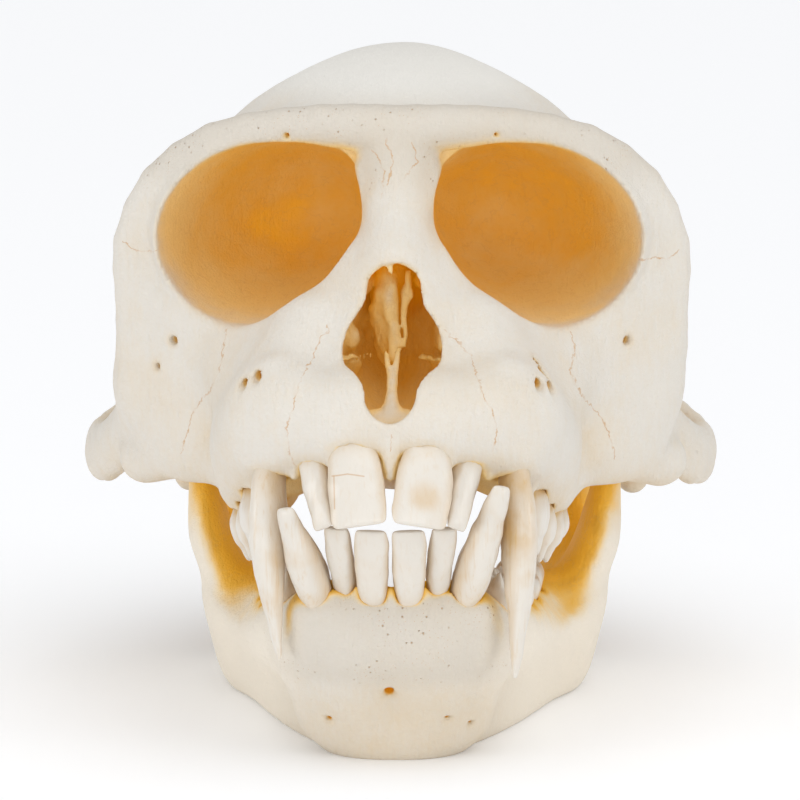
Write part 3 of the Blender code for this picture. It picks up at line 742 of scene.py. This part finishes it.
def line_distance(flat_place, points):
    """Distance in the x, z plane to a line through the points."""
    nearest = None
    for (x0, z0), (x1, z1) in zip(points, points[1:]):
        start, span = Vector((x0, 0, z0)), Vector((x1 - x0, 0, z1 - z0))
        along = flat_place.vector("SUBTRACT", start).dot(span) * (1 / span.length_squared)
        along.socket.node.use_clamp = True
        spot = along.vector("MULTIPLY_ADD", span, start)
        made = flat_place.node("ShaderNodeVectorMath", "DISTANCE", flat_place, spot)
        near = Field(flat_place.tree, made.outputs["Value"])
        nearest = near if nearest is None else nearest.math("MINIMUM", near)
    return nearest


def pores(place, scale, size):
    made = place.tree.nodes.new("ShaderNodeTexVoronoi")
    made.inputs["Scale"].default_value = scale
    place.tree.links.new(place.socket, made.inputs["Vector"])
    return Field(place.tree, made.outputs["Distance"]).ramp(size * 0.5, size, 1.0, 0.0)


def material(name, colour, rough, height, strength, distance, coat=0.0):
    """Joins the colour, roughness and height fields of a finish to its surface."""
    tree = colour.tree
    shader = tree.nodes["Principled BSDF"]
    tree.links.new(colour.socket, shader.inputs["Base Color"])
    tree.links.new(rough.socket, shader.inputs["Roughness"])
    bump = tree.nodes.new("ShaderNodeBump")
    bump.inputs["Strength"].default_value = strength
    bump.inputs["Distance"].default_value = distance
    tree.links.new(height.socket, bump.inputs["Height"])
    tree.links.new(bump.outputs[0], shader.inputs["Normal"])
    shader.inputs["Specular IOR Level"].default_value = 0.35
    shader.inputs["Coat Weight"].default_value = coat
    return shader


def new_material(name):
    made = bpy.data.materials.new(name)
    made.use_nodes = True
    return made, made.node_tree


def brow_area(x, y, z):
    return z.ramp(57.0, 62.0) * y.ramp(-15.0, -11.0, 1.0, 0.0)


def chin_area(x, y, z):
    return z.ramp(8.0, 11.0) * y.ramp(-40.0, -37.0, 1.0, 0.0)


def nearest_line(flat_place, lines):
    distances = [line_distance(flat_place, points) for points in lines]
    nearest = distances[0]
    for distance in distances[1:]:
        nearest = nearest.math("MINIMUM", distance)
    return nearest


def bone_marks(place, hollow, area, lines):
    """The share of brown in sutures, pits and vessel lines, and the share of the deep pits alone."""
    patches = place.noise(0.2, 2.0).ramp(0.42, 0.6)
    pitted = area * patches
    holes = pores(place, 1.1, 0.14) * pitted * 0.7
    fine = pores(place, 2.6, 0.17) * (pitted * 0.6 + patches * 0.12)
    veins = (place.noise(0.3, 4.0, 0.55) - 0.5).math("ABSOLUTE").ramp(0.003, 0.016, 0.16, 0.0)
    marks = holes + fine + veins * hollow.ramp(0.35, 0.55)
    if lines:
        wander = place.noise(1.1, 3.0, 0.6, True).vector("SUBTRACT", (0.5, 0.5, 0.5))
        shaken = wander.vector("MULTIPLY_ADD", (1.1, 0.0, 1.1), place)
        seam = nearest_line(shaken.vector("MULTIPLY", (1.0, 0.0, 1.0)), lines)
        front = place.parts()[1].ramp(-16.0, -12.0, 1.0, 0.0)
        open_front = hollow.ramp(0.30, 0.55, 1.0, 0.0) * front
        broken = place.noise(0.8, 2.0).ramp(0.35, 0.6, 0.1, 0.75)
        marks = marks + seam.ramp(0.02, 0.11, 1.0, 0.0) * open_front * broken
    return marks.math("MINIMUM", 1.0), holes


def bone_material(name, lines, pitted_area, warm_below, warmth, shade_ochre_from, shade_amber_from,
                  painted_light_in_orbits=0.0, painted_light_sides=0.0, painted_shade_behind=0.0):
    made, tree = new_material(name)
    place = object_place(tree)
    hollow = attribute(tree, "hollow")
    broad = place.noise(0.07, 3.0)
    blotch = place.noise(0.35, 4.0, 0.6)
    grain = place.noise(2.6, 4.0, 0.65)
    fibres = place.vector("MULTIPLY", (2.2, 0.5, 0.45)).noise(1.0, 3.0, 0.6)
    x, y, z = place.parts()
    low = z.ramp(warm_below, warm_below + 14.0, 1.0, 0.0)
    # The bone's own warm tone varies at random and towards the bottom; shallow hollows get painted shade in
    # the same warm colour.
    warm_tone_and_shade = broad.ramp(0.42, 0.68) * 0.35 + blotch.ramp(0.5, 0.75) * 0.2 + low * warmth
    warm_tone_and_shade = warm_tone_and_shade + hollow.ramp(0.0, 0.25) * 0.5 + (fibres - 0.5) * 0.6 + (grain - 0.5) * 0.5
    colour = mixed(tree, warm_tone_and_shade, BONE_PALE, BONE_WARM)
    # Painted light: the top of the skull behind the brow is painted whiter, as where light from above falls
    # on it.
    colour = mixed(tree, z.ramp(64.0, 69.0) * y.ramp(-17.0, -10.0), colour, BONE_PAINTED_TOP_LIGHT)
    area = pitted_area(x, y, z)
    from_middle = x.math("ABSOLUTE")
    colour = mixed(tree, area * 0.6, colour, BONE_WORN)
    # Painted light: the outer sides of the jaw are painted paler, making up for the shade of the skull above
    # them.
    colour = mixed(tree, from_middle.ramp(8.0, 15.0, 0.0, painted_light_sides), colour, BONE_PAINTED_FILL_CREAM)
    # Painted shade: the more shut in a point is, the more ochre and then amber it is painted. In the cranium
    # this is held back on the outer side walls and below the middle of the orbits, as painted light where
    # lamps reach in. In the jaw it is added behind the canines, on the inner faces of the branches.
    lit_orbit_wall = from_middle.ramp(19.0, 27.0, 0.0, painted_light_in_orbits)
    shade_behind = y.ramp(-37.0, -29.0, 0.0, painted_shade_behind)
    lit_orbit_floor = z.ramp(45.0, 52.0, painted_light_in_orbits * 0.9, 0.0)
    shade = hollow + shade_behind + (blotch - 0.5) * 0.22 - lit_orbit_wall - lit_orbit_floor
    colour = mixed(tree, shade.ramp(shade_ochre_from, shade_ochre_from + 0.44), colour, BONE_SHADE_OCHRE)
    colour = mixed(tree, shade.ramp(shade_amber_from, shade_amber_from + 0.35), colour, BONE_SHADE_AMBER)
    marks, holes = bone_marks(place, hollow, area, lines)
    colour = mixed(tree, marks, colour, SUTURE_BROWN)
    rough = grain * 0.18 + 0.46
    height = grain * 0.45 + blotch * 0.4 + fibres * 0.5 - holes * 1.2
    shader = material(name, colour, rough, height, 0.8, 0.00035)
    # Painted light: the hollows shine amber, most of all the deepest ones, though they are no lamp.
    shader.inputs["Emission Color"].default_value = BONE_PAINTED_GLOW
    painted_glow = shade.ramp(0.3, 0.6, 0.0, 0.045) + shade.ramp(0.85, 1.0, 0.0, 0.08)
    tree.links.new(painted_glow.socket, shader.inputs["Emission Strength"])
    return made


def enamel_material(name, stain, tan_spot=None, cracks=()):
    made, tree = new_material(name)
    place = object_place(tree)
    rise = attribute(tree, "rise")
    x, y, z = place.parts()
    streaks = combined(x * 2.4, y * 2.4, z * 0.22).noise(1.0, 3.0, 0.6)
    cloud = place.noise(0.3, 3.0)
    # Painted shade: the sides of each tooth are tinted brown where their neighbours shade them. The brown
    # near the gum, in the streaks and at the roots is real stain.
    gum_stain_and_side_shade = rise.ramp(0.0, 0.34, 1.0, 0.0) + attribute(tree, "flank").ramp(0.6, 1.0) * 1.2
    share = gum_stain_and_side_shade * 0.30 + (streaks.ramp(0.5, 0.8) * 0.5 + cloud.ramp(0.45, 0.8) * 0.4) * stain
    share = (share + rise.ramp(-0.1, 0.05, 0.6, 0.0)).math("MINIMUM", 1.0)
    if tan_spot:
        centre, radius = tan_spot[:3], tan_spot[3]
        spot = place.vector("SUBTRACT", centre).length().ramp(radius * 0.3, radius, 0.45, 0.0)
        share = (share + spot * cloud.ramp(0.3, 0.6, 0.5, 1.0)).math("MINIMUM", 1.0)
    colour = mixed(tree, share, ENAMEL, ENAMEL_STAIN_AND_SHADE)
    for points in cracks:
        near = line_distance(place.vector("MULTIPLY", (1.0, 0.0, 1.0)), points)
        colour = mixed(tree, near.ramp(0.03, 0.1, 0.6, 0.0), colour, SUTURE_BROWN)
    rough = streaks * 0.15 + 0.24
    height = streaks * 0.7 + cloud * 0.5
    material(name, colour, rough, height, 0.35, 0.00025, 0.15)
    return made


def enabled(sockets):
    """The value socket in use among those of a node that has one for each type."""
    return [entry for entry in sockets if entry.enabled and entry.name == "Value"][0]


def hollow_tree(name, group):
    """Stores how shut in each point is, from rays sent out in evenly spread directions."""
    tree = new_geometry_tree(name)
    entry = tree.nodes.new("NodeGroupInput")
    place = Field(tree, tree.nodes.new("GeometryNodeInputPosition").outputs[0])
    normal = Field(tree, tree.nodes.new("GeometryNodeInputNormal").outputs[0])
    start = normal.vector("MULTIPLY_ADD", (RAY_LIFT, RAY_LIFT, RAY_LIFT), place)
    info = tree.nodes.new("GeometryNodeCollectionInfo")
    info.inputs["Collection"].default_value = group
    walls = tree.nodes.new("GeometryNodeRealizeInstances")
    tree.links.new(info.outputs[0], walls.inputs[0])
    shut, total = None, None
    for index in range(RAY_COUNT):
        up = 1 - 2 * (index + 0.5) / RAY_COUNT
        turn = index * math.pi * (3 - math.sqrt(5))
        flat = math.sqrt(1 - up * up)
        way = Vector((math.cos(turn) * flat, math.sin(turn) * flat, up))
        weight = normal.dot(way).math("MAXIMUM", 0.0)
        ray = tree.nodes.new("GeometryNodeRaycast")
        tree.links.new(walls.outputs[0], ray.inputs["Target Geometry"])
        tree.links.new(start.socket, ray.inputs["Source Position"])
        ray.inputs["Ray Direction"].default_value = way
        ray.inputs["Ray Length"].default_value = RAY_LENGTH
        met = weight * Field(tree, ray.outputs["Is Hit"])
        shut = met if shut is None else shut + met
        total = weight if total is None else total + weight
    blur = tree.nodes.new("GeometryNodeBlurAttribute")
    blur.inputs["Iterations"].default_value = 5
    tree.links.new((shut / total).socket, enabled(blur.inputs))
    store = tree.nodes.new("GeometryNodeStoreNamedAttribute")
    store.inputs["Name"].default_value = "hollow"
    tree.links.new(entry.outputs[0], store.inputs["Geometry"])
    tree.links.new(enabled(blur.outputs), enabled(store.inputs))
    tree.links.new(store.outputs[0], tree.nodes.new("NodeGroupOutput").inputs[0])
    return tree


bone_finish = bone_material(
    "cranium_bone", SUTURES, brow_area, warm_below=18.0, warmth=0.5, shade_ochre_from=0.20, shade_amber_from=0.62,
    painted_light_in_orbits=0.16)
jaw_finish = bone_material(
    "mandible_bone", [], chin_area, warm_below=0.0, warmth=0.7, shade_ochre_from=0.28, shade_amber_from=0.46,
    painted_light_sides=0.9, painted_shade_behind=0.22)
enamel_clean = enamel_material("enamel", 0.35)
enamel_canine = enamel_material("enamel_canine", 0.8)
enamel_spotted = enamel_material("enamel_incisor", 0.35, (3.6, -51.0, 30.2, 2.2))
enamel_cracked = enamel_material("enamel_incisor_cracked", 0.35, None, INCISOR_CRACKS)
enamel_brown = enamel_material("enamel_canine_brown", 0.8, (13.4, -45.0, 27.0, 7.0))

cranium_mesh = bone_mesh(
    "cranium", cranium_form, CRANIUM_LOW, CRANIUM_HIGH, CRANIUM_TRIANGLES, bone_finish)
mandible_mesh = bone_mesh(
    "mandible", mandible_form, MANDIBLE_LOW, MANDIBLE_HIGH, MANDIBLE_TRIANGLES, jaw_finish)

skull = bpy.data.collections.new("mona_monkey_skull")
bpy.context.scene.collection.children.link(skull)


pieces = []


def placed(name, mesh, node, slot):
    piece = bpy.data.objects.new(name, mesh)
    skull.objects.link(piece)
    pieces.append((piece, node, slot))
    return piece


bones = [
    placed("cranium_bone", cranium_mesh, "cranium", "bone"),
    placed("mandible_bone", mandible_mesh, "mandible", "bone"),
]
special_finishes = {
    "upper_incisor_central_left": enamel_spotted,
    "upper_incisor_central_right": enamel_cracked,
    "upper_canine_left": enamel_brown,
}
for jaw, rows in (("upper", UPPER_TEETH), ("lower", LOWER_TEETH)):
    for number, (kind, common) in enumerate(rows.items()):
        for hand, mirror in (("left", False), ("right", True)):
            node = f"{jaw}_{kind}_{hand}"
            row = (common[0], Vector(common[1]) + Vector(TIP_SHIFTS.get(node, (0, 0, 0)))) + common[2:]
            mesh = tooth_mesh(node, row, mirror, number * 3.7 + mirror * 1.9 + (jaw == "lower") * 11.0)
            finish = enamel_clean
            if kind == "canine":
                finish = enamel_canine
            finish = special_finishes.get(node, finish)
            mesh.materials.append(finish)
            placed(node + "_tooth", mesh, node, "tooth")

walls = bpy.data.collections.new("walls")
bpy.context.scene.collection.children.link(walls)
for piece in list(skull.objects):
    walls.objects.link(bpy.data.objects.new("wall", piece.data))
shade_tree = hollow_tree("hollow", walls)
# Each bone stores how shut in it is; this drives its painted shade and painted light.
for bone in bones:
    shader = bone.modifiers.new("hollow", "NODES")
    shader.node_group = shade_tree
shaded = [evaluated_mesh(bone) for bone in bones]
for bone, mesh in zip(bones, shaded):
    bone.modifiers.clear()
    bone.data = mesh
for wall in list(walls.objects):
    bpy.data.objects.remove(wall)
bpy.data.collections.remove(walls)

for piece, node, slot in pieces:
    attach(piece, "root")
    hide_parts(node)

# Floor, lights and camera
floor_mesh = bpy.data.meshes.new("floor")
floor_mesh.from_pydata(FLOOR_CORNERS, [], [(0, 1, 2, 3)])
floor = bpy.data.objects.new("floor", floor_mesh)
bpy.context.scene.collection.objects.link(floor)
floor_finish, floor_nodes = new_material("studio_floor")
floor_shader = floor_nodes.nodes["Principled BSDF"]
floor_shader.inputs["Base Color"].default_value = FLOOR_COLOUR
floor_shader.inputs["Roughness"].default_value = 0.9
floor_shader.inputs["Emission Color"].default_value = (1, 1, 1, 1)
floor_shader.inputs["Emission Strength"].default_value = FLOOR_GLOW
floor_shader.inputs["Specular IOR Level"].default_value = 0.1
floor_mesh.materials.append(floor_finish)

world = bpy.data.worlds.new("studio")
world.use_nodes = True
world.node_tree.nodes["Background"].inputs["Color"].default_value = (1, 1, 1, 1)
world.node_tree.nodes["Background"].inputs["Strength"].default_value = WORLD_STRENGTH
bpy.context.scene.world = world
bpy.context.scene.view_settings.view_transform = "Standard"


def lamp(name, place, power):
    data = bpy.data.lights.new(name, "AREA")
    data.shape = "DISK"
    data.size = LAMP_SIZE
    data.energy = power
    made = bpy.data.objects.new(name, data)
    bpy.context.scene.collection.objects.link(made)
    made.location = place
    made.rotation_euler = (CAMERA_TARGET - Vector(place)).to_track_quat("-Z", "Y").to_euler()


for name, (place, power) in LAMPS.items():
    lamp(name, place, power)
sky_data = bpy.data.lights.new("sky_light", "SUN")
sky_data.energy = SKY_POWER
sky_data.angle = math.radians(SKY_SOFTNESS)
sky = bpy.data.objects.new("sky_light", sky_data)
bpy.context.scene.collection.objects.link(sky)
sky.rotation_euler = [math.radians(angle) for angle in SKY_TURN]

camera_data = bpy.data.cameras.new("camera")
camera_data.lens = CAMERA_LENS
camera_data.shift_x, camera_data.shift_y = CAMERA_SHIFT
camera = bpy.data.objects.new("camera", camera_data)
bpy.context.scene.collection.objects.link(camera)
azimuth, elevation = math.radians(CAMERA_AZIMUTH), math.radians(CAMERA_ELEVATION)
level = math.cos(elevation)
back = Vector((math.sin(azimuth) * level, -math.cos(azimuth) * level, math.sin(elevation)))
camera.location = CAMERA_TARGET + back * CAMERA_DISTANCE
camera.rotation_euler = (-back).to_track_quat("-Z", "Y").to_euler()
bpy.context.scene.camera = camera
